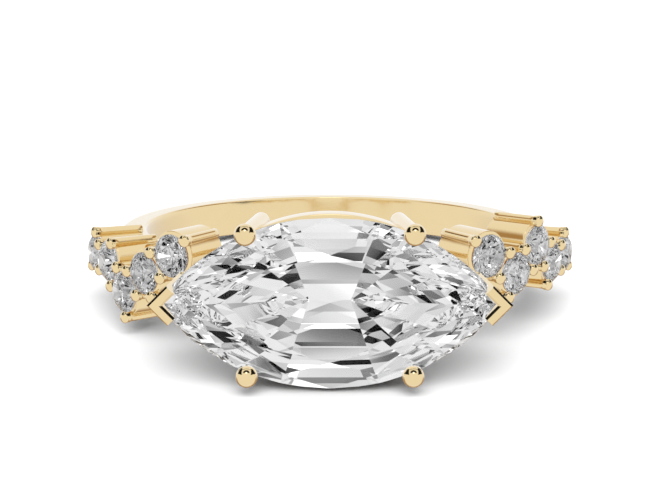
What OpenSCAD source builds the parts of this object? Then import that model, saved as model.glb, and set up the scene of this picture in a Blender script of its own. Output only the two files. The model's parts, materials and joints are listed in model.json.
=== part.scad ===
// A yellow gold ring with a marquise diamond lying across the finger and five small round
// diamonds staggered down each shoulder. The ring lies on its side: the floor is z = 0, the
// head points to -Y, and X runs along the marquise.

/* [Shank] */
// Inside diameter of the ring, US size 7
finger_d = 17.3; // [15.5:0.1:20]
// Thickness of the shank, from the finger outwards
shank_t = 1.18; // [1:0.02:1.6]
// Width of the shank along the finger
shank_w = 1.8; // [1.6:0.1:2.4]
// Rounding of the shank's outer edges
outer_round = 0.25; // [0.1:0.05:0.4]
// Rounding of the shank's inner edges
inner_round = 0.1; // [0.05:0.05:0.2]

/* [Marquise stone] */
// Length of the marquise, tip to tip
marquise_l = 13.1; // [12:0.1:13.6]
// Width of the marquise
marquise_w = 6.6; // [6.2:0.1:6.8]
// Height of the girdle plane above the centre of the ring
marquise_reach = 12.9; // [12.7:0.05:13.2]
// Thickness of the girdle
marquise_girdle = 0.1; // [0.06:0.01:0.15]
// Height of the crown over the girdle
marquise_crown = 0.9; // [0.7:0.05:1.1]
// Slope of the crown, in degrees
crown_slope = 34; // [30:1:38]
// Slope of the pavilion, in degrees
pavilion_slope = 41; // [39:1:42]

/* [Round stones] */
// Diameter of a round stone
round_d = 1.78; // [1.6:0.02:1.8]
// Height of a round stone's girdle plane above the centre of the ring
round_reach = 11.13; // [11:0.01:11.3]
// Thickness of a round stone's girdle
round_girdle = 0.04; // [0.03:0.01:0.06]
// Height of a round stone's crown over its girdle
round_crown = 0.27; // [0.2:0.01:0.3]
// Facets round the crown, and as many round the pavilion
facet_count = 8; // [6:1:12]

/* [Setting] */
// Outside diameter of the tube under a round stone
tube_d = 2.04; // [1.9:0.02:2.1]
// Depth of the tube's rim under the stone's girdle plane
rim_drop = 0.13; // [0.1:0.01:0.2]
// Diameter of the light hole through a tube
light_hole_d = 0.9; // [0.6:0.1:1]
// Diameter of the wires that run up the tubes
wire_d = 0.42; // [0.36:0.02:0.46]
// Diameter of the bead on the end of each wire
bead_d = 0.48; // [0.46:0.01:0.52]
// Length of a bead
bead_l = 0.34; // [0.3:0.01:0.4]
// Height of a bead's end above the girdle plane of the round stones
bead_top = 0.22; // [0.18:0.01:0.26]
// Rounding of a bead's end
bead_round = 0.11; // [0.06:0.01:0.11]
// Distance from a round stone's axis to a wire of its own
wire_out = 1.07; // [1.04:0.01:1.1]
// Offset of a shared wire from the line between its two stones
shared_out = 0.57; // [0.5:0.01:0.6]
// Diameter of the ball on each of the four round claws
ball_d = 0.82; // [0.74:0.02:0.9]
// Diameter of the four round claws
claw_d = 0.56; // [0.5:0.02:0.6]
// Radius of the bend where a claw turns in to the shank
claw_bend = 0.5; // [0.4:0.05:0.6]
// Width of each arm of a V claw
v_arm_w = 0.37; // [0.3:0.01:0.42]
// Length of each arm of a V claw, along its outer edge
v_arm_l = 0.96; // [0.8:0.02:1.1]
// Height of the gallery rail
rail_h = 0.85; // [0.6:0.05:0.95]
// Thickness of the gallery rail
rail_t = 0.4; // [0.3:0.05:0.5]
// Diameter of the strut from each end of the rail to the shank
strut_d = 0.6; // [0.5:0.05:0.7]
// Gap left between a stone and the metal round it
seat_gap = 0.03; // [0.02:0.01:0.05]

/* [Hidden] */

$fn = 96;
gold = "goldenrod";
diamond = "lightcyan";
big = 20;
finger_r = finger_d / 2;
shank_r = finger_r + shank_t;

// Centres of the five stones on each shoulder: the angle down from the head, and the place
// across the band. The third pair is the one that breaks the mirror.
left_stones = [[35.4, 1.08], [44, 0.14], [51.9, -0.9], [59.8, 0.18], [69.5, 0.24]];
right_stones = [[35.4, 1.08], [44, 0.14], [51.9, 1.12], [59.8, 0.14], [69.5, 0.24]];
// Wires of a stone's own: which stone, and the angle round it from the way down the shoulder
left_wires = [[0, 138], [0, -132], [1, -121], [2, -102], [3, 124], [4, 112], [4, -84]];
right_wires = [[0, 138], [0, -132], [1, -121], [2, 98], [3, -126], [4, 112], [4, -84]];

// The four round claws: the ball's place, the place where the bend begins, and the lean of the
// plane that both lie in
ball_at = [3.15, 13.18, 2.67];
bend_at = [2.85, 9.45];
claw_l = norm([ball_at[0] - bend_at[0], ball_at[1] - bend_at[1]]);
claw_lean = atan2(ball_at[0] - bend_at[0], ball_at[1] - bend_at[1]);

// The V claws: the corner's distance from the middle, the heights of the front face and of the
// foot, and the lean of the whole claw in towards the foot
v_tip = 6.82;
v_front = 13.27;
v_back = 11;
v_lean = 5;

// The gallery rail is a smaller marquise behind the girdle: its length, width and heights
rail_l = 11.6;
rail_w = 6.56;
rail_top = 12;
rail_foot = rail_top - rail_h;
// The strut at each end of the rail: its two ends, and the ball that rounds the upper one off
strut_top = [6.05, 11.3];
strut_foot = [4.5, 8.4];
strut_ball_d = strut_d + 0.02;

// Rest: the belly of the gallery rail and the back of the shank touch the floor
back_touch = [shank_r - outer_round, shank_w / 2 - outer_round];
touch_run = rail_foot + back_touch[0];
touch_fall = rail_w / 2 - back_touch[1];
rest_tilt = atan2(touch_fall, touch_run) - asin(outer_round / norm([touch_run, touch_fall]));
centre_h = back_touch[0] * sin(rest_tilt) + back_touch[1] * cos(rest_tilt) + outer_round;
table_reach = marquise_reach + marquise_girdle / 2 + marquise_crown;
table_half_w = marquise_w / 2 - marquise_crown / tan(crown_slope);
front_y = table_reach * cos(rest_tilt) + table_half_w * sin(rest_tilt);
back_y = back_touch[0] * cos(rest_tilt) + back_touch[1] * sin(rest_tilt) + outer_round;

// Degrees round the shank for one millimetre along the stones' girdle circle
function deg(mm) = mm / round_reach * 180 / PI;
// A point near stone c: out mm along it at the angle a
function beside(c, out, a) = [c[0] + deg(out * cos(a)), c[1] + out * sin(a)];
// The two wires that stones a and b share, either side of the line between them
function shared(a, b) =
    let (run = (b[0] - a[0]) / deg(1), rise = b[1] - a[1], aim = atan2(rise, run))
    [for (turn = [90, -90]) beside((a + b) / 2, shared_out, aim + turn)];
// Every wire of one shoulder
function wires(stones, own) = concat(
    [for (i = [0:len(stones) - 2], w = shared(stones[i], stones[i + 1])) w],
    [for (w = own) beside(stones[w[0]], wire_out, w[1])]);
// Radius of each of the two arcs of a marquise l long and w wide
function arc_r(l, w) = (l * l + w * w) / (4 * w);

// Lays the ring down from its own frame, in which its axis is Z
module laid_down() {
    translate([0, (front_y - back_y) / 2, centre_h]) rotate([-rest_tilt, 0, 0]) children();
}

// Stands children on a shoulder at place p: Z outwards, Y across the band
module on_shoulder(side, p) {
    translate([0, 0, p[1]]) rotate([0, 0, side * p[0]]) rotate([90, 0, 0]) children();
}

// Turns a drawing of X and Z into one that is seen from the front, with Z pointing at the viewer
module facing_front() {
    rotate([90, 0, 0]) children();
}

// Flat facets round a stone: what is left inside count planes that pass x out at the height z
module halfspace_facets(count, lean, x, z) {
    intersection_for (i = [0:count - 1])
        rotate([0, 0, 360 * i / count]) translate([x, 0, z]) rotate([0, lean, 0])
            translate([-big, -big / 2, -big / 2]) cube(big);
}

// Outline of a round stone with a margin round it, for turning
module round_outline(margin) {
    r = round_d / 2 + margin;
    half = round_girdle / 2 + margin;
    top = half + round_crown;
    polygon([[0, -half - r * tan(pavilion_slope)], [r, -half], [r, half],
             [r - round_crown / tan(crown_slope), top], [0, top]]);
}

module round_stone(side, p) {
    r = round_d / 2 * cos(180 / (2 * facet_count));
    color(diamond) laid_down() on_shoulder(side, p) translate([0, 0, round_reach])
        intersection() {
            rotate_extrude() round_outline(0);
            halfspace_facets(facet_count, crown_slope - 90, r, round_girdle / 2);
            halfspace_facets(facet_count, 90 - pavilion_slope, r, -round_girdle / 2);
        }
}

// The marquise is where two turned bodies overlap, each centred on one of its arcs
module marquise_body(margin) {
    arc = arc_r(marquise_l, marquise_w);
    offset_z = arc - marquise_w / 2;
    r = arc + margin;
    half = marquise_girdle / 2 + margin;
    facing_front() intersection_for (s = [-1, 1]) translate([0, s * offset_z, marquise_reach])
        rotate_extrude($fn = 180) polygon([
            [0, -half - r * tan(pavilion_slope)], [r, -half], [r, half],
            [r - marquise_crown / tan(crown_slope), half + marquise_crown],
            [0, half + marquise_crown]]);
}

module marquise_stone() {
    color(diamond) laid_down() marquise_body(0);
}

// A flat marquise shape, for the rail
module marquise_face(l, w) {
    r = arc_r(l, w);
    intersection_for (s = [-1, 1]) translate([0, s * (r - w / 2)]) circle(r, $fn = 180);
}

module shank() {
    flat = shank_w / 2;
    rotate_extrude($fn = 180) {
        translate([finger_r + inner_round, -flat])
            square([shank_t - inner_round - outer_round, shank_w]);
        translate([finger_r, inner_round - flat])
            square([shank_t / 2, shank_w - 2 * inner_round]);
        translate([finger_r + shank_t / 2, outer_round - flat])
            square([shank_t / 2, shank_w - 2 * outer_round]);
        for (s = [-1, 1]) {
            translate([finger_r + inner_round, s * (flat - inner_round)]) circle(inner_round);
            translate([shank_r - outer_round, s * (flat - outer_round)]) circle(outer_round);
        }
    }
}

// The blunt end of a wire, with its rim rounded over
module bead() {
    r = bead_d / 2;
    rotate_extrude($fn = 48) {
        square([r, bead_l - bead_round]);
        square([r - bead_round, bead_l]);
        translate([r - bead_round, bead_l - bead_round]) circle(bead_round);
    }
}

// The tubes and wires of one shoulder, running straight in to the finger hole
module shoulder(side, stones, own) {
    root = finger_r - shank_t;
    rim = round_reach - rim_drop;
    tip = round_reach + bead_top - bead_l;
    for (p = stones) on_shoulder(side, p) translate([0, 0, root]) cylinder(h = rim - root, d = tube_d);
    for (p = wires(stones, own)) on_shoulder(side, p) {
        translate([0, 0, root]) cylinder(h = tip - root + bead_l / 2, d = wire_d, $fn = 48);
        translate([0, 0, tip]) bead();
    }
}

// What is cut out under the stones of one shoulder
module shoulder_seats(side, stones) {
    for (p = stones) on_shoulder(side, p) {
        translate([0, 0, round_reach]) rotate_extrude() round_outline(seat_gap);
        cylinder(h = round_reach, d = light_hole_d, $fn = 48);
    }
}

// A round bar between two points
module bar(a, b, d) {
    run = b - a;
    translate(a) rotate([0, acos(run[2] / norm(run)), atan2(run[1], run[0])])
        cylinder(h = norm(run), d = d, $fn = 48);
}

// One upper claw and its mirror below: back from the ball, round the bend and across the shank
module claw_pair(side) {
    foot_z = ball_at[2] - claw_bend;
    translate([side * ball_at[0], -ball_at[1], 0]) rotate([0, 0, side * claw_lean]) {
        for (s = [0, 1]) mirror([0, 0, s]) translate([0, 0, ball_at[2]]) {
            sphere(d = ball_d, $fn = 64);
            rotate([-90, 0, 0]) cylinder(h = claw_l, d = claw_d, $fn = 48);
            translate([0, claw_l, -claw_bend]) rotate([0, -90, 0])
                rotate_extrude(angle = 90) translate([claw_bend, 0]) circle(d = claw_d, $fn = 48);
        }
        translate([0, claw_l + claw_bend, -foot_z]) cylinder(h = 2 * foot_z, d = claw_d, $fn = 48);
    }
}

module v_claw(side) {
    a = v_arm_l / sqrt(2);
    w = v_arm_w * sqrt(2);
    mirror([side < 0 ? 1 : 0, 0, 0]) translate([v_tip, -v_front, 0]) rotate([0, 0, v_lean])
        rotate([-90, 0, 0]) linear_extrude(v_front - v_back) polygon([
            [0, 0], [-a, a], [-a - w / 2, a - w / 2], [-w, 0], [-a - w / 2, w / 2 - a], [-a, -a]]);
}

// The rail round the pavilion, and a strut at each end of it
module gallery() {
    facing_front() translate([0, 0, rail_foot]) linear_extrude(rail_h) difference() {
        marquise_face(rail_l, rail_w);
        // The inner outline stays clear of the outer one at the pointed ends too
        marquise_face(rail_l - 3 * rail_t, rail_w - 2 * rail_t);
    }
    for (side = [-1, 1]) {
        top = [side * strut_top[0], -strut_top[1], 0];
        bar(top, [side * strut_foot[0], -strut_foot[1], 0], strut_d);
        translate(top) sphere(d = strut_ball_d, $fn = 48);
    }
}

module gold_setting() {
    color(gold) laid_down() difference() {
        union() {
            shank();
            shoulder(-1, left_stones, left_wires);
            shoulder(1, right_stones, right_wires);
            for (side = [-1, 1]) {
                claw_pair(side);
                v_claw(side);
            }
            gallery();
        }
        cylinder(h = big, r = finger_r, center = true, $fn = 180);
        shoulder_seats(-1, left_stones);
        shoulder_seats(1, right_stones);
        marquise_body(seat_gap);
    }
}

gold_setting();
marquise_stone();
for (i = [0:4]) {
    round_stone(-1, left_stones[i]);
    round_stone(1, right_stones[i]);
}
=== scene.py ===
# %% [markdown]
# # A marquise diamond ring
# The ring is yellow gold. A long marquise diamond lies across the finger, held by four round claws
# and a V claw at each point, and five small round diamonds step down each shoulder. It lies on its
# side on a white table. The CAD model fixes the solids and where they lie. This lesson draws their
# surfaces again for the eye, here and there a few tenths of a millimetre off the CAD, where the
# picture asks for it: polished metal with soft edges, and stones with real facets.

# %% Load the frame
import functools
import itertools
import json
import math
import bmesh
import bpy
import numpy as np
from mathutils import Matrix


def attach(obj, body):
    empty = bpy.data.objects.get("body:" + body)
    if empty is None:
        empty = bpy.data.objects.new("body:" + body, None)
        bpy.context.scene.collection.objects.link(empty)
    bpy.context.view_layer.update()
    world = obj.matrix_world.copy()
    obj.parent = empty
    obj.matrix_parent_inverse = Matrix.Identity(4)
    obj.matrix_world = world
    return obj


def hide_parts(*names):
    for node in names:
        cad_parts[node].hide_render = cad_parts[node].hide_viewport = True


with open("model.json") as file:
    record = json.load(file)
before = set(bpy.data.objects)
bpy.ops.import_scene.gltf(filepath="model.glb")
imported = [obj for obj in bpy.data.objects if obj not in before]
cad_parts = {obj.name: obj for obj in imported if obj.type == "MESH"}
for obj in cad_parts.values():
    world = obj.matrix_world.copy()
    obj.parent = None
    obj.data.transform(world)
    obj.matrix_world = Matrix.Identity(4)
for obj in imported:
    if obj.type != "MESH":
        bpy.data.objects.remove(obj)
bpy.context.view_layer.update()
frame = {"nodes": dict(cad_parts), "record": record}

print("CAD nodes:", sorted(frame["nodes"]))

# %% [markdown]
# ## The ring's own frame
# A ring is easiest to think of with its finger hole upright: Z up the hole, X along the marquise,
# -Y out through the head. On the table it leans by a few degrees, because it rests on the belly of
# the head and on the back of the band. The record states the hole's centre and axis, so one small
# function lays any ring-frame point, in millimetres, down on the table, in metres.

# %% From the ring's frame to the table
mm = 0.001
hole = next(m for m in frame["record"]["mounts"] if m["name"] == "finger_hole")
hole_centre = np.array(hole["pos_m"])
up_axis = np.array(hole["axis"]) / np.linalg.norm(hole["axis"])
side_axis = np.array([1.0, 0.0, 0.0])
ring_axes = np.stack([side_axis, np.cross(up_axis, side_axis), up_axis])


def laid_down(points):
    """Ring frame in millimetres to the table in metres: the hole's centre plus each coordinate
    along its own axis."""
    return hole_centre + points @ ring_axes * mm


def stood_up(points):
    """The way back: the offset from the hole's centre, measured along each of the ring's axes."""
    return (points - hole_centre) @ ring_axes.T / mm


print("the ring leans by %.2f degrees" % math.degrees(math.acos(up_axis[2])))

# %% [markdown]
# ## The camera
# It stands at the height of a person leaning over a counter, about 60 mm away with a long lens. A
# long lens keeps the near stone from swelling and the band behind it from shrinking.

# %% The camera
lens = bpy.data.cameras.new("counter_camera")
lens.sensor_width, lens.lens, lens.clip_start = 36.0, 69.42, 0.001
camera = bpy.data.objects.new("counter_camera", lens)
bpy.context.scene.collection.objects.link(camera)
camera_back, camera_height, look_down = 0.05599, 0.01968, 17.197
camera.location = (0.0, -camera_back, camera_height)
camera.rotation_euler = (math.radians(90 - look_down), 0.0, 0.0)
bpy.context.scene.camera = camera
print("the camera stands %.0f mm back and %.0f mm up" % (camera_back / mm, camera_height / mm))

# %% [markdown]
# ## Surfaces as arrays
# Every metal piece is a grid of points: rows run along the piece and columns round it. The quads
# between them follow from the grid's numbering alone, so no vertex is handled one at a time. Where
# a row shrinks to one point, a weld turns its quads into triangles. A closed skin with its faces
# turned outwards encloses a positive volume, and that sign says whether a skin must be turned over.
# Primitives and curves could start most of these pieces, but each soft edge would need a modifier.
# Here it is only a few more points in an outline.

# %% Grids to meshes
weld = 2e-9


def grid_faces(rows, cols, wrap_rows, wrap_cols):
    """Corner numbers of a grid's quads: each point, its neighbour along the row, and the same two a
    row down."""
    r = np.arange(rows - (not wrap_rows))[:, None]
    c = np.arange(cols - (not wrap_cols))[None, :]
    down, along = (r + 1) % rows, (c + 1) % cols
    quads = [r * cols + c, r * cols + along, down * cols + along, down * cols + c]
    return np.stack(quads, -1).reshape(-1, 4)


def volume_of(points, faces):
    """Six times the volume: the triple product of each quad's two triangles, added up."""
    a, b, c, d = (points[faces[:, i]] for i in range(4))
    return float(np.sum(np.cross(a, b) * c) + np.sum(np.cross(a, c) * d))


def add_mesh(name, points, faces, sharp=None):
    """One object from points in metres. Edges steeper than sharp degrees stay crisp, and without
    sharp all faces are flat."""
    mesh = bpy.data.meshes.new(name)
    mesh.from_pydata(points, [], faces)
    work = bmesh.new()
    work.from_mesh(mesh)
    bmesh.ops.remove_doubles(work, verts=work.verts, dist=weld)
    work.to_mesh(mesh)
    work.free()
    if sharp is not None:
        mesh.polygons.foreach_set("use_smooth", np.ones(len(mesh.polygons), bool))
        mesh.set_sharp_from_angle(angle=math.radians(sharp))
    piece = bpy.data.objects.new(name, mesh)
    bpy.context.scene.collection.objects.link(piece)
    return piece


def skin(name, grids, sharp=35):
    """A piece made of closed grids. Each is (points, wrap_rows, wrap_cols), or has a fourth entry,
    True, that caps its ends."""
    points, faces, base = [], [], 0
    for grid, wrap_rows, wrap_cols, *cap in grids:
        rows, cols = grid.shape[:2]
        quads = grid_faces(rows, cols, wrap_rows, wrap_cols)
        placed = laid_down(grid.reshape(-1, 3))
        first, last = np.arange(cols)[::-1], (rows - 1) * cols + np.arange(cols)
        ends = [first, last] if cap else []
        inside_out = volume_of(placed - placed.mean(0), quads) < 0
        faces += [(q[::-1] if inside_out else q).tolist() for q in quads + base]
        faces += [(e[::-1] if inside_out else e).tolist() for e in (end + base for end in ends)]
        points.append(placed)
        base += len(placed)
    piece = add_mesh(name, np.vstack(points), faces, sharp)
    print(name, len(piece.data.polygons), "faces")
    return piece


# %% Arcs and outlines
def unit(rows):
    """Each row divided by its own length."""
    return rows / np.linalg.norm(rows, axis=-1, keepdims=True)


def angles_round(count):
    """Angles of evenly spaced points round a circle."""
    return np.linspace(0, 2 * np.pi, count, endpoint=False)


def arc(centre, radius, start, end, count):
    """Points on a circle: the centre plus the radius turned from start to end, in degrees."""
    a = np.radians(np.linspace(start, end, count))
    return np.stack([centre[0] + radius * np.cos(a), centre[1] + radius * np.sin(a)], -1)


def straight(radius, low, high, count):
    """A stretch of upright wall: one radius, at evenly spaced heights."""
    return np.stack([np.full(count, radius), np.linspace(low, high, count)], -1)


def finely(line, step):
    """A closed line with its long stretches divided, so that no piece of it is longer than step."""
    ends = np.roll(line, -1, axis=0)
    parts = np.maximum(1, np.ceil(np.linalg.norm(ends - line, axis=1) / step)).astype(int)
    return np.vstack([a + (b - a) * np.arange(n)[:, None] / n for a, b, n in zip(line, ends, parts)])


# %% [markdown]
# ## The band
# A shank starts as a drawn bar of rounded section bent round a mandrel. Its section is therefore
# all there is to draw: flat inside and out, softly rounded at the outer corners, and just eased
# where it meets the finger. Turning the section round the hole gives a grid with no ends.

# %% The shank's section and its turned surface
finger_r, shank_r, half_width = 8.65, 9.83, 0.9
inner_round, outer_round = 0.1, 0.25
section_step, shank_steps = 0.2, 480
inner_c, outer_c = finger_r + inner_round, shank_r - outer_round
section = finely(np.vstack([
    arc((inner_c, half_width - inner_round), inner_round, 180, 90, 7),
    arc((outer_c, half_width - outer_round), outer_round, 90, 0, 11),
    arc((outer_c, outer_round - half_width), outer_round, 0, -90, 11),
    arc((inner_c, inner_round - half_width), inner_round, -90, -180, 7)]), section_step)
turn = angles_round(shank_steps)[:, None]
across = np.broadcast_to(section[:, 1], (shank_steps, len(section)))
shank_grid = np.stack([section[:, 0] * np.cos(turn), section[:, 0] * np.sin(turn), across], -1)
gold_band = skin("gold_band", [(shank_grid, True, True)])

# %% [markdown]
# ## Where the shoulder stones stand
# Each stone's place is an angle down from the head and a distance across the band. The third pair
# breaks the mirror: low on the left, high on the right. Every stone shares two wires with each
# neighbour, one either side of the line between them, and a few wires are its own. The wires'
# places follow from the stones', so moving a stone carries its claws along.

# %% Stones and wires of both shoulders
both_sides = ((-1, "left"), (1, "right"))
round_reach, wire_out, shared_out = 11.13, 1.07, 0.57
stone_places = {
    -1: [(35.4, 1.08), (44, 0.14), (51.9, -0.9), (59.8, 0.18), (69.5, 0.24)],
    1: [(35.4, 1.08), (44, 0.14), (51.9, 1.12), (59.8, 0.14), (69.5, 0.24)]}
own_wires = {
    -1: [(0, 138), (0, -132), (1, -121), (2, -102), (3, 124), (4, 112), (4, -42)],
    1: [(0, 138), (0, -132), (1, -121), (2, 98), (3, -126), (4, 112), (4, -42)]}
degrees_per_mm = 180 / (math.pi * round_reach)


def beside(place, out, angle):
    """A point near a place on the shoulder: out millimetres away at the angle, turned into degrees
    down and millimetres across."""
    a = np.radians(angle)
    return place + out * np.stack([np.cos(a) * degrees_per_mm, np.sin(a)], -1)


def wire_places(side):
    """The shared wires, either side of each line between neighbours, then the stones' own."""
    stones = np.array(stone_places[side], float)
    step = stones[1:] - stones[:-1]
    aim = np.degrees(np.arctan2(step[:, 1], step[:, 0] / degrees_per_mm))
    middle = (stones[1:] + stones[:-1]) / 2
    shared = [beside(middle, shared_out, aim + quarter) for quarter in (90, -90)]
    which, angle = np.array(own_wires[side]).T
    return np.vstack(shared + [beside(stones[which], wire_out, angle)])


print({word: len(wire_places(side)) for side, word in both_sides}, "wires")

# %% Standing things on a shoulder
upright = np.array([0.0, 0.0, 1.0])


def on_shoulder(points, side, place):
    """Stands points on a shoulder: their Z runs outwards, Y across the band and X along it."""
    a = math.radians(side * place[0])
    along, outwards = np.array([math.cos(a), math.sin(a), 0.0]), np.array([math.sin(a), -math.cos(a), 0.0])
    spot = points[..., :1] * along + points[..., 1:2] * upright + points[..., 2:] * outwards
    return spot + place[1] * upright


def turned(line, count, foot):
    """A turned shape: each (radius, height) of the line goes round a circle. A negative height
    stands on the foot's curve: -1 is on it, and -1.1 a tenth of a millimetre above it."""
    a = angles_round(count)
    radius, height = line[:, :1], line[:, 1:]
    x, y = radius * np.cos(a), radius * np.sin(a)
    curve = np.sqrt(foot * foot - x * x)
    return np.stack([x, y, np.where(height < 0, curve - 1 - height, height)], -1)


# %% [markdown]
# ## The tubes under the small stones
# Each small stone sits on a short tube, turned on a lathe and soldered in. The tube has a light
# hole up its middle and a cone at the top that follows the stone's underside, so only a bright
# thread of rim shows round the stone. Its foot is cut to a curve half a millimetre outside the
# finger hole, so it can't touch the skin. A Boolean could drill the hole, but one outline that goes
# up the outside and down the inside needs no cut and keeps its edges soft.

# %% The tubes
tube_r, hole_r, rim_height, foot_r = 1.02, 0.45, 11.0, 9.15
rim_round, lip_r, lip_round, hem, foot_step = 0.035, 0.84, 0.02, 0.03, 0.0015
tube_line = np.vstack([
    [(tube_r - hem, -1.0), (tube_r, -1.0 - hem)], straight(tube_r, 9.4, 10.9, 8),
    arc((tube_r - rim_round, rim_height - rim_round), rim_round, 0, 90, 5),
    arc((lip_r, rim_height - lip_round), lip_round, 90, 150, 3),
    [(0.7, 10.885), (0.5, 10.712), (hole_r + 0.015, 10.68), (hole_r, 10.65), (hole_r, 9.6)],
    [(hole_r, -1.3), (hole_r, -1.0 - hem), (hole_r + hem, -1.0), (0.7, -1.0), (0.86, -1.0)]])


def tube(side, number):
    """One tube. Each foot is 1.5 microns lower than the last, so that no two share a surface."""
    grid = turned(tube_line, 96, foot_r - foot_step * (number + 1))
    return on_shoulder(grid, side, stone_places[side][number]), True, True


gold_tubes = {
    side: skin(f"gold_tubes_{word}", [tube(side, number) for number in range(5)], 40)
    for side, word in both_sides}

# %% [markdown]
# ## The wires
# The claws of the small stones are lengths of wire laid in the valleys between the tubes. Each ends
# in a round bead, a little wider than the wire, pushed over the stones' edges and burnished bright.
# A ball holds a small picture of the whole room, so each bead has its own small dark mark. A
# cylinder with a sphere on its end would show a seam, so wire, neck and bead are one turned outline.

# %% The wires and their beads
wire_r, neck_r, bead_r, bead_dome, bead_end = 0.21, 0.24, 0.255, 0.18, 11.43
neck_low, neck_length, wire_foot = 11.00, 0.09, foot_r - 0.03
swell = np.linspace(0, 1, 5)
neck = np.stack([wire_r + (neck_r - wire_r) * swell, neck_low + neck_length * swell], -1)
bead = arc((0.0, 0.0), 1.0, -20, 90, 28) * [bead_r, bead_dome] + [0.0, bead_end - bead_dome]
wire_line = np.vstack([
    [(0.0, -1.0), (wire_r - hem, -1.0), (wire_r, -1.0 - hem)], straight(wire_r, 9.4, 10.9, 6), neck, bead])


def wire(side, place):
    """One wire, from its foot to its bead."""
    return on_shoulder(turned(wire_line, 40, wire_foot), side, place), False, True


gold_wires = {
    side: skin(f"gold_wires_{word}", [wire(side, place) for place in wire_places(side)], 50)
    for side, word in both_sides}

# %% [markdown]
# ## The round claws
# Each pair of claws is one rod. From a ball it runs back past the stone's edge, leaning in, turns
# down, crosses behind the stone and comes back the same way. So it is one profile, a circle,
# carried along one path with bent corners. Only its radius changes: it follows the ball's outline at
# each end and the rod's in between, and a soft maximum of the two leaves the small fillet that
# melted gold has. A bevelled curve would need the same radii set point by point.

# %% The rods and balls
ball_r, rod_r, fillet_power = 0.415, 0.315, 10
ball_at = np.array([3.15, 13.36, 2.72])
claw_corners = np.array([ball_at, (2.70, 9.62, 2.70)])
bend_window, path_step = 0.7, 0.02


def bent_path(corners):
    """Straight stretches between corners, rounded by a moving average. Returns how far along each
    point is, and the points. Both ends run on straight for a millimetre, so the distances start at
    -1 and the average leaves the real ends alone."""
    before, beyond = corners[0] + unit(corners[0] - corners[1]), corners[-1] + unit(corners[-1] - corners[-2])
    corners = np.vstack([before, corners, beyond])
    at = np.concatenate([[0], np.cumsum(np.linalg.norm(np.diff(corners, axis=0), axis=1))])
    along = np.arange(0, at[-1], path_step)
    dense = np.stack([np.interp(along, at, corners[:, i]) for i in range(3)], -1)
    count = int(bend_window / path_step)
    average = np.full(count, 1 / count)
    return along - 1, np.stack([np.convolve(dense[:, i], average, "same") for i in range(3)], -1)


def claw_pair(side):
    """Circles across the path: each point is the path's place, plus the radius turned in the plane
    square to the path."""
    mirrored = claw_corners[::-1] * [1, 1, -1]
    along, path = bent_path(np.vstack([claw_corners, mirrored]))
    length = along[-1] - 1 + path_step
    cap = -ball_r * np.cos(np.linspace(0, 0.8 * np.pi, 33))
    rod = np.linspace(cap[-1], length - cap[-1], 110)[1:-1]
    run = np.concatenate([cap, rod, length - cap[::-1]])
    centre = np.stack([np.interp(run, along, path[:, i]) for i in range(3)], -1)
    ahead = unit(np.stack([np.interp(run, along, np.gradient(path[:, i])) for i in range(3)], -1))
    across = unit(side_axis - ahead[:, :1] * ahead)
    other = np.cross(ahead, across)
    from_ball = np.minimum(run, length - run)
    ball = np.sqrt(np.maximum(0, ball_r**2 - from_ball**2))
    filleted = (ball**fillet_power + rod_r**fillet_power) ** (1 / fillet_power)
    radius = np.where(from_ball <= 0, ball, filleted)[:, None, None]
    a = angles_round(56)[:, None]
    grid = centre[:, None] + radius * (np.cos(a) * across[:, None] + np.sin(a) * other[:, None])
    return grid * [side, -1, 1], False, True


gold_claws = skin("gold_claws", [claw_pair(side) for side, word in both_sides], 40)

# %% [markdown]
# ## The V claws
# The points of a marquise chip easily, so each is cradled in a folded V. It is sawn from plate: a
# bent outline with a flat front, whose long edges are broken with one pass of the file. That
# narrow flat chamfer draws the dark lines along the V's edges. A Bevel modifier would need a weight
# on each edge. In the outline the chamfer simply leaves out the ends of the arms.

# %% The V claws
v_tip, v_front, v_rise, v_depth, v_lean = 6.85, 13.58, 0.06, 2.54, math.radians(5)
v_arm, v_wide = 1.08 / math.sqrt(2), 0.42 * math.sqrt(2)
v_chamfer, v_chamfer_depth, v_eased, v_margin = 0.075, 0.1125, 0.03, 0.3
v_inner = v_arm + v_wide / 2
v_outline = np.array([
    (0, 0), (-v_arm, v_arm), (-v_inner, v_arm - v_wide / 2),
    (-v_wide, 0), (-v_inner, v_wide / 2 - v_arm), (-v_arm, -v_arm)])
# 1 for each edge that the file breaks, and 0 for the cut ends of the two arms.
v_filed = np.array([1, 0, 1, 1, 0, 1.0])[:, None]


def inset(outline, distance):
    """Each filed edge moves inwards by the distance. All corners are square, so a corner's move is
    the sum of its two edges' moves."""
    ahead = unit(np.roll(outline, -1, axis=0) - outline)
    move = distance * v_filed * np.stack([-ahead[:, 1], ahead[:, 0]], -1)
    return outline + move + np.roll(move, 1, axis=0)


def v_claw(side):
    """The outline carried from front to back, drawn in by the chamfer in front and a little at the
    back, and leaning in towards the foot."""
    middle = np.linspace(v_margin, v_depth - v_margin, 5)
    depth = np.array([0, v_chamfer_depth, *middle, v_depth - v_eased, v_depth])
    draw = [v_chamfer, *np.zeros(len(depth) - 2), v_eased]
    lines = np.stack([inset(v_outline, d) for d in draw])
    x = v_tip + lines[..., 0] * math.cos(v_lean) - depth[:, None] * math.sin(v_lean)
    y = -v_front + depth[:, None] * math.cos(v_lean) + lines[..., 0] * math.sin(v_lean)
    return np.stack([side * x, y, lines[..., 1] + v_rise], -1), False, True, True


gold_v_claws = skin("gold_v_claws", [v_claw(side) for side, word in both_sides], 20)

# %% [markdown]
# ## The gallery
# Under the girdle a marquise-shaped rail ties the claws together, and a strut runs from each of its
# ends to the band. The rail's two outlines are both pairs of arcs. Blending from the outer to the
# inner one, while the height goes up and down, carries a softened rectangle right round the rail.


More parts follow.
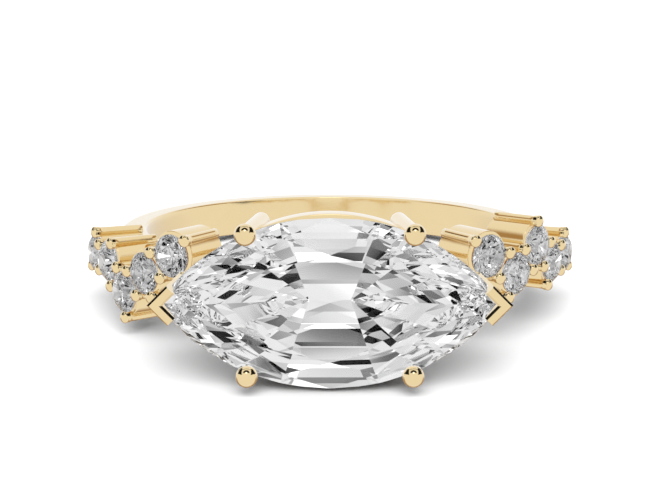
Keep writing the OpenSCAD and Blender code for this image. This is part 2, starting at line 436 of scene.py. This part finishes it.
# %% The rail
def marquise_outline(length, width, count):
    """Both arcs, tip to tip and back. Each is a circle of radius (l*l + w*w) / 4w whose centre is
    set back from the middle."""
    radius = (length**2 + width**2) / (4 * width)
    reach = math.asin(length / 2 / radius)
    a = np.linspace(-reach, reach, count)
    x, y = radius * np.sin(a), radius * np.cos(a) - (radius - width / 2)
    return np.vstack([np.stack([x, y], -1)[:-1], np.stack([-x, -y], -1)[:-1]])


rail_top, rail_foot, rail_wall, rail_round, rail_step = 12.0, 11.15, 0.4, 0.05, 0.25
rail_outer, rail_inner = marquise_outline(11.6, 6.56, 121), marquise_outline(10.4, 5.76, 121)
inward, upper, lower = rail_wall - rail_round, rail_top - rail_round, rail_foot + rail_round
rail_section = finely(np.vstack([
    arc((rail_round, upper), rail_round, 180, 90, 5), arc((inward, upper), rail_round, 90, 0, 5),
    arc((inward, lower), rail_round, 0, -90, 5),
    arc((rail_round, lower), rail_round, -90, -180, 5)]), rail_step)
blend = rail_outer[:, None] + (rail_inner - rail_outer)[:, None] * (rail_section[:, :1] / rail_wall)
rail_height = np.broadcast_to(-rail_section[:, 1], blend.shape[:2])
rail_grid = np.stack([blend[..., 0], rail_height, blend[..., 1]], -1)

# %% The struts
strut_top, strut_foot, strut_r = (6.05, -11.3), (4.5, -8.4), 0.3


def strut(side):
    """A rod between two points with a round end: circles whose radius follows a half circle at the
    top."""
    top, foot = (np.array([side * x, y, 0.0]) for x, y in (strut_top, strut_foot))
    length = np.linalg.norm(foot - top)
    dome = -strut_r * np.cos(np.linspace(0, np.pi / 2, 9))
    run = np.concatenate([dome, np.linspace(0, length, 12)[1:], [length]])
    domed = np.sqrt(np.maximum(0, strut_r**2 - dome**2))
    radius = np.concatenate([domed, np.full(11, strut_r), [0.0]])[:, None, None]
    ahead = (foot - top) / length
    a = angles_round(40)[:, None]
    ring = radius * (np.cos(a) * np.cross(ahead, upright) + np.sin(a) * upright)
    return top + run[:, None, None] * ahead + ring, False, True


gold_gallery = skin("gold_gallery", [(rail_grid, True, True), strut(-1), strut(1)], 40)

# %% [markdown]
# ## Cutting stones
# A cutter grinds flat facets, and the stone is what every facet leaves standing. That is also how
# it is computed. Each facet is a plane, three planes meet at a point, and a point is a corner of
# the stone only if no other plane cuts it off. All triples of planes are solved at once. The
# corners on each plane, taken in order round their middle, are that facet's outline. Corners could
# be placed by hand, but then no facet would be truly flat, and a stone lives by its flat facets.

# %% From planes to a faceted stone
parallel, cut_off, same_point, on_plane = 1e-7, 1e-6, 2e-4, 1e-4


def cut_stone(normals, offsets):
    """Corners and facets of the stone that lies under every plane, where normal . point = offset.
    Each corner is the meeting point of three planes that lies under all the rest."""
    i, j, k = np.array(list(itertools.combinations(range(len(offsets)), 3))).T
    jk = np.cross(normals[j], normals[k])
    size = np.sum(normals[i] * jk, axis=1)
    good = np.abs(size) > parallel
    i, j, k, jk, size = i[good], j[good], k[good], jk[good], size[good]
    meet = (offsets[i, None] * jk + offsets[j, None] * np.cross(normals[k], normals[i])
            + offsets[k, None] * np.cross(normals[i], normals[j])) / size[:, None]
    meet = meet[np.all(meet @ normals.T <= offsets + cut_off, axis=1)]
    same = np.linalg.norm(meet[:, None] - meet[None], axis=-1) < same_point
    corners = meet[np.unique(same.argmax(axis=1))]
    facets, owners = [], []
    for plane, (normal, offset) in enumerate(zip(normals, offsets)):
        on = np.flatnonzero(np.abs(corners @ normal - offset) < on_plane)
        if len(on) < 3:
            continue
        spoke = corners[on] - corners[on].mean(0)
        east = spoke[np.argmax(np.linalg.norm(spoke, axis=1))]
        north = np.cross(normal, east)
        facets.append(on[np.argsort(np.arctan2(spoke @ north, spoke @ east))].tolist())
        owners.append(plane)
    return corners, facets, np.array(owners)


# %% [markdown]
# ## The brilliant cut
# A brilliant has a table, eight kite-shaped mains that run from the table to the girdle, a star
# between each pair of mains at the table and two halves between them at the girdle. Below it, long
# narrow facets fan out from the point, or on a long stone from a short keel, so that none of them
# lies too flat: below about 25 degrees diamond stops reflecting and the stone looks like a window. A
# marquise brilliant is the same plan on a pointed outline, so one recipe serves both.


# %% Ways to state a plane
def through(a, b, c):
    """The plane through three points, with its normal turned away from the stone's middle. Works on
    rows of points at once."""
    normal = unit(np.cross(b - a, c - a))
    offset = np.sum(normal * a, axis=-1)
    flip = np.where(offset < 0, -1.0, 1.0)
    return normal * flip[..., None], offset * flip


def sloping(at, outwards, slope):
    """Planes through points, that face outwards and up, and lean back by the slope in degrees."""
    tilt = math.radians(slope)
    normal = np.hstack([outwards * math.sin(tilt), np.full((len(at), 1), math.cos(tilt))])
    return normal, np.sum(normal * at, axis=1)


def at_height(flat, z):
    """Flat points, all lifted to one height."""
    return np.column_stack([flat, np.full(len(flat), z)])


def next_one(rows):
    """Each row's follower round the stone."""
    return np.roll(rows, -1, axis=0)


# %% The planes of a brilliant
def crown_planes(outline, feet, outwards, slope, high, top, star_level):
    """Mains, stars and both halves. The mains lean in from the girdle to the table. A star's tip is
    where two mains meet a level plane. A star joins its tip to two corners of the table, and a half
    joins it to the girdle."""
    count = len(outline)
    foot, middle = outline[feet], outline[(feet + (next_one(feet) - feet) % count // 2) % count]
    foot_up = at_height(foot, high)
    mains_n, mains_d = sloping(foot_up, outwards, slope)
    corner = at_height(foot - outwards * (top - high) / math.tan(math.radians(slope)), top)
    next_n, next_d = next_one(mains_n), next_one(mains_d)
    level = np.broadcast_to(upright, mains_n.shape)
    size = np.sum(mains_n * np.cross(next_n, level), axis=1)[:, None]
    star_tip = (mains_d[:, None] * np.cross(next_n, level) + next_d[:, None] * np.cross(level, mains_n)
                + star_level * np.cross(mains_n, next_n)) / size
    stars = through(corner, next_one(corner), star_tip)
    halves = [through(star_tip, end, at_height(middle, high)) for end in (foot_up, next_one(foot_up))]
    return [(mains_n, mains_d), stars, *halves]


def girdle_planes(outline):
    """An upright plane along each side of the outline."""
    side = outline - np.roll(outline, 1, axis=0)
    normal = at_height(np.stack([side[:, 1], -side[:, 0]], -1), 0.0) / np.linalg.norm(side, axis=1)[:, None]
    offset = np.sum(normal[:, :2] * outline, axis=1)
    return normal * np.sign(offset)[:, None], np.abs(offset)


def lower_planes(outline, fan, keel, low, point, tiers):
    """Below the girdle each facet runs from two points of the fan to the keel's nearer end, broken
    into tiers: a tier ends a share of the way in, where the stone bellies out by so much."""
    edge, after = outline[fan], next_one(outline[fan])
    reach = (edge + after)[:, :1]
    end = np.sign(np.where(np.abs(reach) > 0.01, reach, 1.0)) * [keel, 0.0]
    tip = at_height(end, point)
    rims = at_height(edge, low), at_height(after, low)
    steps = [(0.0, 0.0), *tiers, (1.0, 0.0)]
    at = [[rim + share * (tip - rim) - belly * upright for rim in rims] for share, belly in steps]
    return [through(a, b, c) for (a, b), (c, _) in zip(at, at[1:])]


def brilliant(outline, feet, fan, keel, crown, slope, depth, girdle, swell, star, tiers):
    """Normals, offsets and kinds of a brilliant's planes on a closed outline. feet are the outline's
    rows where the mains touch the girdle, fan those where the lower facets' edges do, and keel is
    half the keel's length. swell is how much the girdle thickens at both, and star the share of the
    crown's height that a star reaches down. The girdle's kind is 5, after the table, the mains, the
    stars and both halves."""
    ahead = next_one(outline) - np.roll(outline, 1, axis=0)
    outwards = unit(np.stack([ahead[:, 1], -ahead[:, 0]], -1))
    outwards *= np.sign(np.sum(outwards * outline, axis=1))[:, None]
    high, top = girdle / 2 + swell, girdle / 2 + crown
    groups = [(upright[None], np.array([top])),
              *crown_planes(outline, feet, outwards[feet], slope, high, top, top - crown * star),
              girdle_planes(outline),
              *lower_planes(outline, fan, keel, -high, -girdle / 2 - depth, tiers)]
    kind = np.concatenate([np.full(len(d), number) for number, (_, d) in enumerate(groups)])
    return np.vstack([n for n, _ in groups]), np.concatenate([d for _, d in groups]), kind


# %% Both stones, drawn table up round their own middle
marquise_reach, girdle_kind = 12.9, 5
marquise_planes = brilliant(
    marquise_outline(13.1, 6.6, 41), feet=np.arange(8) * 10, fan=np.setdiff1d(np.arange(16) * 5, (20, 60)),
    keel=0.80, crown=0.9, slope=34, depth=2.86, girdle=0.1, swell=0.05, star=0.42,
    tiers=[(0.22, 0.05), (0.46, 0.08), (0.72, 0.07)])
round_r, round_sides = 0.89, 48
around = np.radians(np.arange(round_sides) * 360 / round_sides)
round_planes = brilliant(
    round_r * np.stack([np.cos(around), np.sin(around)], -1), feet=np.arange(8) * 6, fan=np.arange(16) * 3,
    keel=0.0, crown=0.27, slope=34, depth=0.76, girdle=0.04, swell=0.005, star=0.5, tiers=[(0.3, 0.02)])
marquise_shape = cut_stone(*marquise_planes[:2])
round_shape = cut_stone(*round_planes[:2])
print("marquise:", len(marquise_shape[1]), "facets; round:", len(round_shape[1]), "facets")

# %% The stones as pieces
stone_spins = [8, 31, 17, 3, 24]


def facing_front(points):
    """Turns a stone drawn table up so that its table looks out of the head: its Z becomes -Y, and
    its Y becomes Z."""
    return np.stack([points[..., 0], -marquise_reach - points[..., 2], points[..., 1]], -1)


def on_tube(points, side, number):
    """Turns a small stone about its own upright, lifts it to its seat and stands it on its shoulder."""
    spin = math.radians(side * stone_spins[number])
    c, n = math.cos(spin), math.sin(spin)
    spun = points @ np.array([[c, n, 0], [-n, c, 0], [0, 0, 1.0]])
    return on_shoulder(spun + [0, 0, round_reach], side, stone_places[side][number])


def stone_piece(name, points, shape, kinds):
    """A faceted piece with flat faces. The attribute frosted is 1 on the girdle, which is ground and
    not polished."""
    piece = add_mesh(name, laid_down(points), shape[1])
    frosted = piece.data.attributes.new("frosted", "FLOAT", "FACE")
    frosted.data.foreach_set("value", (kinds[shape[2]] == girdle_kind).astype(np.float32))
    return piece


stones = {"marquise_stone": stone_piece(
    "cut_marquise", facing_front(marquise_shape[0]), marquise_shape, marquise_planes[2])}
for side, word in both_sides:
    for number in range(5):
        placed = on_tube(round_shape[0], side, number)
        stones[f"round_stone_{word}_{number + 1}"] = stone_piece(
            f"cut_round_{word}_{number + 1}", placed, round_shape, round_planes[2])
print(len(stones), "stones")

# %% [markdown]
# ## Seats and openings
# A setter cuts a seat into each claw, so the stone has somewhere to sit, and a bench worker drills
# the band where the tubes go in. Both are cuts, so both are made as cuts: a Boolean takes away a
# slightly grown stone, or a row of round drills. Cutting leaves long thin faces that would shade
# badly. So each corner's smooth normal is written down first, the cut carries it along, and
# afterwards it is put back. Only the new walls, which had no note, keep their own flat normals.


# %% A cut that keeps the polish
still_noted, same_way = 0.5, 0.3


def numbers_of(rows, field, width, kind=np.float32):
    """One field of all faces or corners of a mesh, as an array with this many numbers a row."""
    values = np.empty(len(rows) * width, kind)
    rows.foreach_get(field, values)
    return values.reshape(-1, width)


def cut_from(piece, cutter):
    """Takes the cutter's shape out of a piece. A corner keeps its old normal if it still carries one
    that looks the same way as its face."""
    normals = numbers_of(piece.data.corner_normals, "vector", 3)
    polish = piece.data.attributes.new("polish", "FLOAT_VECTOR", "CORNER")
    polish.data.foreach_set("vector", normals.ravel())
    cut = piece.modifiers.new("seat", "BOOLEAN")
    cut.operation, cut.solver, cut.object = "DIFFERENCE", "EXACT", cutter
    bpy.context.view_layer.update()
    graph = bpy.context.evaluated_depsgraph_get()
    whole = piece.evaluated_get(graph)
    new = bpy.data.meshes.new_from_object(whole, preserve_all_data_layers=True, depsgraph=graph)
    piece.modifiers.clear()
    piece.data = new
    new.name = piece.name
    noted = numbers_of(new.attributes["polish"].data, "vector", 3)
    corners = numbers_of(new.polygons, "loop_total", 1, np.int32)[:, 0]
    flat = np.repeat(numbers_of(new.polygon_normals, "vector", 3), corners, axis=0)
    length = np.linalg.norm(noted, axis=1)
    kept = (length > still_noted) & (np.sum(noted * flat, axis=1) > same_way)
    final = np.where(kept[:, None], noted / np.maximum(length, 1e-6)[:, None], flat)
    new.attributes.remove(new.attributes["polish"])
    new.normals_split_custom_set(final.tolist())
    bpy.data.objects.remove(cutter)
    share = round(100 * float(kept.mean()))
    print(piece.name, "cut:", len(new.polygons), "faces,", share, "percent of corners keep their polish")


def grown(corners, share):
    """The stone's corners, each further from the stone's middle by a share of its distance."""
    middle = corners.mean(0)
    return middle + (corners - middle) * (1 + share)


# %% Seats for the stones
marquise_growth, round_growth = 0.004, 0.01
seat = laid_down(facing_front(grown(marquise_shape[0], marquise_growth)))
for piece in (gold_claws, gold_v_claws):
    cut_from(piece, add_mesh("seat_tool", seat, marquise_shape[1]))
big = grown(round_shape[0], round_growth)
facets = [[corner + number * len(big) for corner in facet] for number in range(5) for facet in round_shape[1]]
for side, word in both_sides:
    seats = np.vstack([laid_down(on_tube(big, side, number)) for number in range(5)])
    cut_from(gold_wires[side], add_mesh("seat_tool", seats, facets))

# %% Openings for the tubes
drill_line = np.array([(0.6, 8.0), (0.6, 10.5)])


def drill(side, number):
    """A straight drill, wider than the light hole and narrower than the tube, with flat ends."""
    return on_shoulder(turned(drill_line, 72, finger_r), side, stone_places[side][number]), False, True, True


cut_from(gold_band, skin("drills", [drill(side, number) for side, word in both_sides for number in range(5)]))

# %% [markdown]
# ## Polished gold
# Fourteen carat gold is a pale yellow metal. Nearly all that the eye sees on it is the room, so its
# colour is a tint on the reflection. Metal reflects more, and whiter, towards its edges, and the
# metallic shader does that by itself. What makes it look polished by hand, and not like a mirror
# from a computer, is small: faint buffing lines round the band, a slight waviness, and a gloss that
# isn't quite even. All three are noise, from about a millimetre down to hundredths.
#
# The balls, the beads and the V claws are burnished harder and have no roughness. A real bead is a
# tiny mirror crowded with its neighbours, which looks like dirt at this size. So gold turns clear
# for the rays that leave a burnished face, which then mirrors the room alone. Only a perfect mirror
# makes a singular ray, and that tells these rays from the others.


# %% Burnished places
def burnish(piece, chosen):
    """Notes on each face whether it is burnished, 1 or 0. The choice looks at the faces' middles in
    the ring's frame."""
    middles = stood_up(numbers_of(piece.data.polygons, "center", 3))
    note = piece.data.attributes.new("burnished", "FLOAT", "FACE")
    note.data.foreach_set("value", chosen(middles).astype(np.float32))
    print(piece.name, round(100 * float(chosen(middles).mean())), "percent of faces are burnished")


ball_edge, bead_edge = ball_r * 1.03, 11.14
burnish(gold_claws, lambda at: np.linalg.norm(np.abs(at) - ball_at, axis=1) < ball_edge)
for piece in gold_wires.values():
    burnish(piece, lambda at: np.hypot(at[:, 0], at[:, 1]) > bead_edge)


# %% A short way to add nodes
def plug(tree, socket, value):
    """Links another node's output to a socket, or sets the socket to a number or a colour."""
    if isinstance(value, bpy.types.NodeSocket):
        tree.links.new(value, socket)
    elif value is not None:
        socket.default_value = value


def add_node(tree, kind, *inputs, **settings):
    """A node of this kind. The inputs go to its sockets in order, and None skips one."""
    node = tree.nodes.new(kind)
    for name, value in settings.items():
        setattr(node, name, value)
    for socket, value in zip(node.inputs, inputs):
        plug(tree, socket, value)
    return node


def new_material(name):
    """An empty node material, and its tree and output."""
    material = bpy.data.materials.new(name)
    material.use_nodes = True
    material.node_tree.nodes.clear()
    return material, material.node_tree, material.node_tree.nodes.new("ShaderNodeOutputMaterial")


# %% Numbers and colours from nodes
def combine(tree, a, b, operation):
    """One number from one or two: a product, sum, difference, larger one or size."""
    return add_node(tree, "ShaderNodeMath", a, b, operation=operation).outputs[0]


def spread(tree, value, low, high, new_low, new_high):
    """Stretches a value from one range on to another."""
    return add_node(tree, "ShaderNodeMapRange", value, low, high, new_low, new_high).outputs[0]


def noise(tree, where, scale, detail):
    """Cloudy noise from 0 to 1, near 0.5 for the most part."""
    return add_node(tree, "ShaderNodeTexNoise", where, None, scale, detail, 0.5).outputs[0]


def between(tree, share, first, second):
    """The colour that lies a share of the way from the first to the second."""
    node = add_node(tree, "ShaderNodeMix", share, data_type="RGBA")
    node.inputs[6].default_value, node.inputs[7].default_value = (*first, 1), (*second, 1)
    return node.outputs[2]


def surface(tree, colour, metallic, rough, **others):
    """The shader for metal, stone and board. The others are its sockets, by name."""
    shader = add_node(tree, "ShaderNodeBsdfPrincipled", colour, metallic, rough)
    for name, value in others.items():
        plug(tree, shader.inputs[name.replace("_", " ")], value)
    return shader.outputs[0]


def show(tree, out, shader, hidden):
    """Puts a shader on the output, but clear for the rays where hidden is 1."""
    clear = add_node(tree, "ShaderNodeBsdfTransparent").outputs[0]
    plug(tree, out.inputs[0], add_node(tree, "ShaderNodeMixShader", hidden, shader, clear).outputs[0])


# %% The gold
def polished_gold(name, stretch, gloss=None, noted=False):
    """Metal with cloudy gloss, waviness, and buffing lines drawn out along one direction by the
    stretch. Without gloss it is burnished all over, and with noted where a face says so."""
    material, tree, out = new_material(name)
    place = add_node(tree, "ShaderNodeTexCoord").outputs["Object"]
    along = add_node(tree, "ShaderNodeMapping", place, None, None, stretch).outputs[0]
    cloud, wave = noise(tree, place, 900.0, 3.0), noise(tree, place, 700.0, 2.0)
    lines = noise(tree, along, 1.0, 4.0)
    tint = between(tree, spread(tree, cloud, 0.3, 0.7, 0.0, 1.0), (0.815, 0.64, 0.345), (0.835, 0.66, 0.36))
    rough, coat_rough = (spread(tree, cloud, 0.3, 0.7, *gloss), 0.04) if gloss else (0.0, 0.0)
    if noted:
        note = add_node(tree, "ShaderNodeAttribute", attribute_name="burnished").outputs["Fac"]
        dull = spread(tree, note, 0.0, 1.0, 1.0, 0.0)
        rough, coat_rough = (combine(tree, part, dull, "MULTIPLY") for part in (rough, coat_rough))
    fine = add_node(tree, "ShaderNodeBump", 0.05, 0.00002, None, lines).outputs[0]
    wavy = add_node(tree, "ShaderNodeBump", 0.06, 0.0001, None, wave, fine).outputs[0]
    metal = surface(tree, tint, 1.0, rough, Coat_Weight=1.0, Coat_Roughness=coat_rough, Normal=wavy)
    ray = add_node(tree, "ShaderNodeLightPath").outputs
    show(tree, out, metal, combine(tree, ray["Is Glossy Ray"], ray["Is Singular Ray"], "MULTIPLY"))
    return material


round_the_band, even, claw_gloss = (3000, 3000, 60000), (24000, 24000, 24000), (0.035, 0.075)
band_gold = polished_gold("band_gold", round_the_band, (0.09, 0.15))
tube_gold = polished_gold("tube_gold", even, claw_gloss)
claw_gold = polished_gold("claw_gold", even, claw_gloss, noted=True)
burnished_gold = polished_gold("burnished_gold", even)

# %% [markdown]
# ## Diamond
# Diamond bends light more than anything else on a jeweller's bench: its index is 2.417, against 1.5
# for window glass. The facets do the rest, so the shader stays simple. It is clear, with no
# roughness on polished facets, and a ground girdle, which the attribute marks. What a stone mirrors
# is turned down to a twentieth. A real diamond mirrors far more, but here the white tent would lie
# on every facet like a veil and hide the dark shards. The small stones are full of reflections finer
# than their facets, so those reflections are painted into their body as a mosaic: each cell of a
# cell noise lets through its own share of the light, a painted patch of light and shade. The metal
# doesn't mirror the stones, for the same reason as above: a ray that was mirrored outside every
# stone goes through them.


# %% The diamond
diamond_index, girdle_rough, dimmed = 2.417, 0.45, (0.05, 0.05, 0.05, 1)


def diamond(name, dim, bright, cell_size):
    """Clear, with a frosted girdle and a mosaic of painted reflections in its body, each cell between
    the dim and the bright grey."""
    material, tree, out = new_material(name)
    frosted = add_node(tree, "ShaderNodeAttribute", attribute_name="frosted").outputs["Fac"]
    place = add_node(tree, "ShaderNodeTexCoord").outputs["Object"]
    # Painted reflections: each cell, from the dim to the bright grey, stands in for a fine reflection in the
    # stone.
    painted_sparkle_cells = add_node(tree, "ShaderNodeTexVoronoi", place, None, 1 / cell_size).outputs["Color"]
    share = add_node(tree, "ShaderNodeSeparateColor", painted_sparkle_cells).outputs[0]
    body = between(tree, share, (dim,) * 3, (bright,) * 3)
    rough = spread(tree, frosted, 0.0, 1.0, 0.0, girdle_rough)
    stone = surface(
        tree, body, None, rough, IOR=diamond_index, Specular_Tint=dimmed, Transmission_Weight=1.0)
    ray = add_node(tree, "ShaderNodeLightPath").outputs
    outside = spread(tree, ray["Transmission Depth"], 0.0, 1.0, 1.0, 0.0)
    show(tree, out, stone, combine(tree, ray["Is Glossy Ray"], outside, "MULTIPLY"))
    return material


clear_diamond = diamond("clear_diamond", 0.97, 1.0, 0.0006)
# The small stones' wide mosaic is painted light and shade, in place of their fine reflections.
small_diamond = diamond("small_diamond", 0.36, 1.0, 0.00028)

# %% [markdown]
# ## The room
# Jewellery is lit by what it reflects. The room is a white tent: white walls and white ground all
# round, a dark panel on each side, a thin dark arch overhead, and one small bright lamp above, in a
# dark ring. The dark shapes draw the edges of the metal. They are drawn on the sky: a flat-sided
# panel is the directions on the inner side of four planes, and a ring is the directions at one angle
# from its middle.
#
# Burnished gold meets these shapes with hard edges. The other gold meets a calmer room: the side
# panels are brown and blurred, a painted reflection that stands in for the warm light of gold on
# gold, and two small dark cards are all that is black. A low brown shade at the back is in both: a
# painted reflection of the ring's own shadow on the table. The brown is for mirrored rays only, so
# that none of it falls on the table.

# %% Shapes on the sky
tent = bpy.data.worlds.new("tent")
bpy.context.scene.world = tent
tent.use_nodes = True
sky = tent.node_tree
sky.nodes.clear()
way = add_node(sky, "ShaderNodeTexCoord").outputs["Generated"]
x, y, z = add_node(sky, "ShaderNodeSeparateXYZ", way).outputs
x_size = combine(sky, x, None, "ABSOLUTE")
folded = add_node(sky, "ShaderNodeCombineXYZ", x_size, y, z).outputs[0]
ray = add_node(sky, "ShaderNodeLightPath").outputs


def both(a, b):
    """Where one shape and the other overlap: their product."""
    return combine(sky, a, b, "MULTIPLY")


def either(a, b):
    """Where one shape or the other is: the larger of the two."""
    return combine(sky, a, b, "MAXIMUM")


def toward(direction, aim):
    """How closely the direction looks the same way as the aim: their dot product."""
    aim = tuple(float(v) for v in aim)
    return add_node(sky, "ShaderNodeVectorMath", direction, aim, operation="DOT_PRODUCT").outputs["Value"]


def ramp(value, start, end, low=0.0, high=1.0):
    """A soft step from low to high while the value goes from start to end."""
    limits = (value, start, end, low, high)
    return add_node(sky, "ShaderNodeMapRange", *limits, interpolation_type="SMOOTHSTEP").outputs[0]


def panel(corners, soft):
    """1 inside a flat-sided shape on both sides of the sky: the product of soft steps over the plane
    through each pair of corners."""
    corners = np.array(corners)
    edges = unit(np.cross(corners, np.roll(corners, -1, axis=0)))
    edges *= np.sign(edges @ corners.sum(0))[:, None]
    return functools.reduce(both, [ramp(toward(folded, edge), -soft, soft) for edge in edges])


def ring_of(aim, angle, width):
    """1 on a thin ring on the sky: close to one angle from its middle."""
    off = combine(sky, toward(way, unit(np.array(aim))), math.cos(math.radians(angle)), "SUBTRACT")
    return ramp(combine(sky, off, None, "ABSOLUTE"), width * 1.3, width * 0.7)


def by_polish(soft, hard):
    """The soft room's number for the other gold, and the hard room's for burnished gold."""
    return add_node(sky, "ShaderNodeMix", ray["Is Singular Ray"], None, soft, hard).outputs[0]


# %% The tent
panel_foot, soft_panel_foot = (0.918, 0.375, 0.130), (0.943, -0.033, 0.327)
panel_top = [(0.714, -0.480, 0.509), (0.427, 0.532, 0.731), (0.503, 0.761, 0.410)]
lamp_way, lamp_back, arch_way = (0, -0.454, 0.890), (0, 0.890, 0.454), (0, 0.918, -0.396)
side_panel, soft_panel = panel([panel_foot, *panel_top], 0.012), panel([soft_panel_foot, *panel_top], 0.08)
arch = both(both(ring_of(arch_way, 90, 0.05), ramp(x_size, 0.46, 0.42)), ramp(z, 0.3, 0.5))
lamp_ring = both(ring_of(lamp_way, 24.0, 0.07), ramp(toward(way, lamp_back), -0.05, 0.10))
lamp_spot = ramp(toward(way, lamp_way), 0.985, 0.996, 0.0, 2.0)
low_shade = both(ramp(z, -0.15, -0.5), ramp(y, 0.1, 0.5))
left_card = ramp(toward(way, (0.842, -0.50, 0.20)), 0.975, 0.982)
right_card = ramp(toward(way, (-0.722, 0.504, 0.474)), 0.995, 0.9975)
dark = by_polish(either(left_card, right_card), either(either(side_panel, arch), lamp_ring))
# Painted reflection: the brown panels stand in for gold mirrored in gold, and the low shade for the ring's
# shadow on the table.
painted_warm_reflection = by_polish(either(soft_panel, low_shade), low_shade)
level = combine(sky, ramp(dark, 0.0, 1.0, 1.0, 0.015), lamp_spot, "ADD")
colour = between(sky, both(painted_warm_reflection, ray["Is Glossy Ray"]), (1.0, 1.0, 1.0), (0.46, 0.30, 0.15))
metal_sky = add_node(sky, "ShaderNodeBackground", colour, level)

# %% [markdown]
# ## A second room for the stones
# Pictures of set stones are often lit twice, because the soft tent that flatters metal leaves a
# diamond dull. A stone wants contrast: broad greys, a few blurred lamps and some black. So the rays
# that have passed through a stone meet another sky. It is cloudy noise over the directions, sent
# through a curve: black at its low end, then greys, and lamps at its high end.

# %% The stones' sky
moved = add_node(sky, "ShaderNodeMapping", way, (15.2, 11.4, 6.3)).outputs[0]
cloud = noise(sky, moved, 3.2, 2.0)
greys = [
    (0.374, 0.0), (0.380, 0.07), (0.394, 0.13), (0.423, 0.25), (0.454, 0.50), (0.485, 0.665), (0.555, 0.84)]
curve = add_node(sky, "ShaderNodeValToRGB", cloud)
stops = curve.color_ramp.elements
stops[-1].color = (0.9, 0.9, 0.9, 1)
for place, grey in greys:
    stops.new(place).color = (grey, grey, grey, 1)
shine = ramp(cloud, 0.63, 0.74, 0.0, 1.5)
grey_level = add_node(sky, "ShaderNodeSeparateColor", curve.outputs[0]).outputs[0]
stone_level = combine(sky, grey_level, shine, "ADD")
stone_sky = add_node(sky, "ShaderNodeBackground", (1.0, 1.0, 1.0, 1.0), stone_level)
skies = add_node(
    sky, "ShaderNodeMixShader", ray["Is Transmission Ray"], metal_sky.outputs[0], stone_sky.outputs[0])
add_node(sky, "ShaderNodeOutputWorld", skies.outputs[0])
print("both skies take", len(sky.nodes), "nodes")

# %% [markdown]
# ## Table and light
# The table is a sheet of white board. It takes its light from the tent and from one big soft lamp
# above and in front, and all that shows on it is the ring's own soft shadow. The board is kept out
# of the metal's reflections, because the tent's ground is already white there, and out of the view
# through the stones, which have a sky of their own.

# %% The table
board_side, board_near, board_far = 0.65, -0.4, 0.9
board_x, board_y = [-board_side, board_side], [board_near, board_far]
board_grid = np.stack(np.meshgrid(board_x, board_y, [0.0], indexing="ij"), -1).reshape(-1, 3)
board = bpy.data.meshes.new("white_board")
board.from_pydata(board_grid, [], [(0, 2, 3, 1)])
table = bpy.data.objects.new("white_board", board)
bpy.context.scene.collection.objects.link(table)
table.visible_glossy = False
table.visible_transmission = False
board_paint, tree, out = new_material("board_paint")
grain = noise(tree, add_node(tree, "ShaderNodeTexCoord").outputs["Object"], 300.0, 4.0)
plug(tree, out.inputs[0], surface(tree, between(tree, grain, (0.72,) * 3, (0.74,) * 3), None, 0.9))
board.materials.append(board_paint)
print("the board is %.1f by %.1f metres" % (2 * board_side, board_far - board_near))

# %% The soft lamp
softbox = bpy.data.lights.new("softbox", "AREA")
softbox.shape, softbox.size, softbox.size_y, softbox.energy = "RECTANGLE", 0.5, 0.3, 2.9
lamp = bpy.data.objects.new("softbox", softbox)
bpy.context.scene.collection.objects.link(lamp)
lamp_near, lamp_height, lamp_tilt = 0.28, 0.34, 39.5
lamp.location = (0.0, -lamp_near, lamp_height)
lamp.rotation_euler = (math.radians(lamp_tilt), 0.0, 0.0)
lamp.visible_glossy = lamp.visible_transmission = lamp.visible_camera = False
print("the lamp gives", round(softbox.energy, 2), "watts")

# %% [markdown]
# ## Finish
# Each piece gets its metal or stone and rides on the ring's one body, and the CAD solid it draws
# again is hidden. Gold isn't seen through the stones, and the other gold doesn't mirror the band:
# both would fill the picture with small gold streaks that only confuse.

# %% Materials, bodies and hidden CAD solids
gold_pieces = [
    (gold_band, band_gold), *((piece, tube_gold) for piece in gold_tubes.values()),
    *((piece, claw_gold) for piece in gold_wires.values()),
    (gold_claws, claw_gold), (gold_v_claws, burnished_gold), (gold_gallery, tube_gold)]
for piece, gold in gold_pieces:
    piece.data.materials.clear()
    piece.data.materials.append(gold)
    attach(piece, "root")
    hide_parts("gold_setting")
    piece.visible_transmission = False
    piece.visible_glossy = piece is not gold_band
for node, piece in stones.items():
    marquise = node == "marquise_stone"
    piece.data.materials.append(clear_diamond if marquise else small_diamond)
    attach(piece, "root")
    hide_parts(node)

# %% How the picture is developed
scene = bpy.context.scene
scene.view_settings.view_transform = "Standard"
scene.view_settings.look = "None"
scene.cycles.caustics_reflective = scene.cycles.caustics_refractive = False
scene.cycles.max_bounces, scene.cycles.transmission_bounces, scene.cycles.glossy_bounces = 32, 32, 32
pieces = [piece for piece, gold in gold_pieces] + list(stones.values())
triangles = [sum(len(face.vertices) - 2 for face in piece.data.polygons) for piece in pieces]
print("triangles:", sum(triangles), "in all, at most", max(triangles), "a piece")
